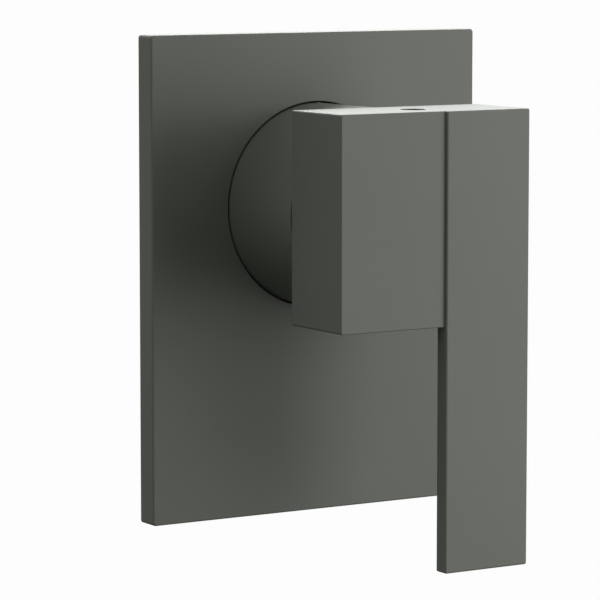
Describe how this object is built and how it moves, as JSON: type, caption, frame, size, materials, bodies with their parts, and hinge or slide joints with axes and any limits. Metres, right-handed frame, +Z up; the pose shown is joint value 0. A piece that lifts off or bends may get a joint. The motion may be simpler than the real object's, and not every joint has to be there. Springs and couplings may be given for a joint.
{
  "type": "concealed stop valve",
  "caption": "Concealed stop valve in a matte grey-green finish: in-wall brass body, rectangular wall plate, round sleeve and a square block handle with a flat lever that turns to open.",
  "frame": {"origin": "on the valve axis at the finished wall, in the plane of the plate's back", "axes": "+X to the right and +Z up as seen from the room, +Y into the wall, so the handle faces -Y"},
  "size_m": [0.11, 0.1062, 0.1493],
  "materials": {
    "coated": "matte",
    "brass": "satin",
    "rubber": "matte",
    "foam": "matte",
    "ceramic": "satin",
    "plastic": "matte",
    "steel": "satin"
  },
  "bodies": {
    "wall_set": {"wall_plate": "coated", "plate_seal": "foam", "plate_o_ring": "rubber", "sleeve": "coated", "sleeve_carrier": "brass", "carrier_o_ring": "rubber", "valve_body": "brass", "headwork_housing": "brass", "housing_o_ring": "rubber", "seat_seal": "rubber", "fixed_disc": "ceramic", "thrust_washer": "plastic"},
    "handle_set": {"handle": "coated", "handle_screw": "steel", "spindle_adapter": "brass", "adapter_screw": "steel", "spindle": "brass", "spindle_o_rings": "rubber", "stop_ring": "brass", "circlip": "steel", "turning_disc": "ceramic"}
  },
  "joints": [
    {"name": "handle_turn", "type": "hinge", "parent": "wall_set", "child": "handle_set", "pos_m": [0, 0, 0], "axis": [0, -1, 0], "range_deg": [0, 90]}
  ]
}
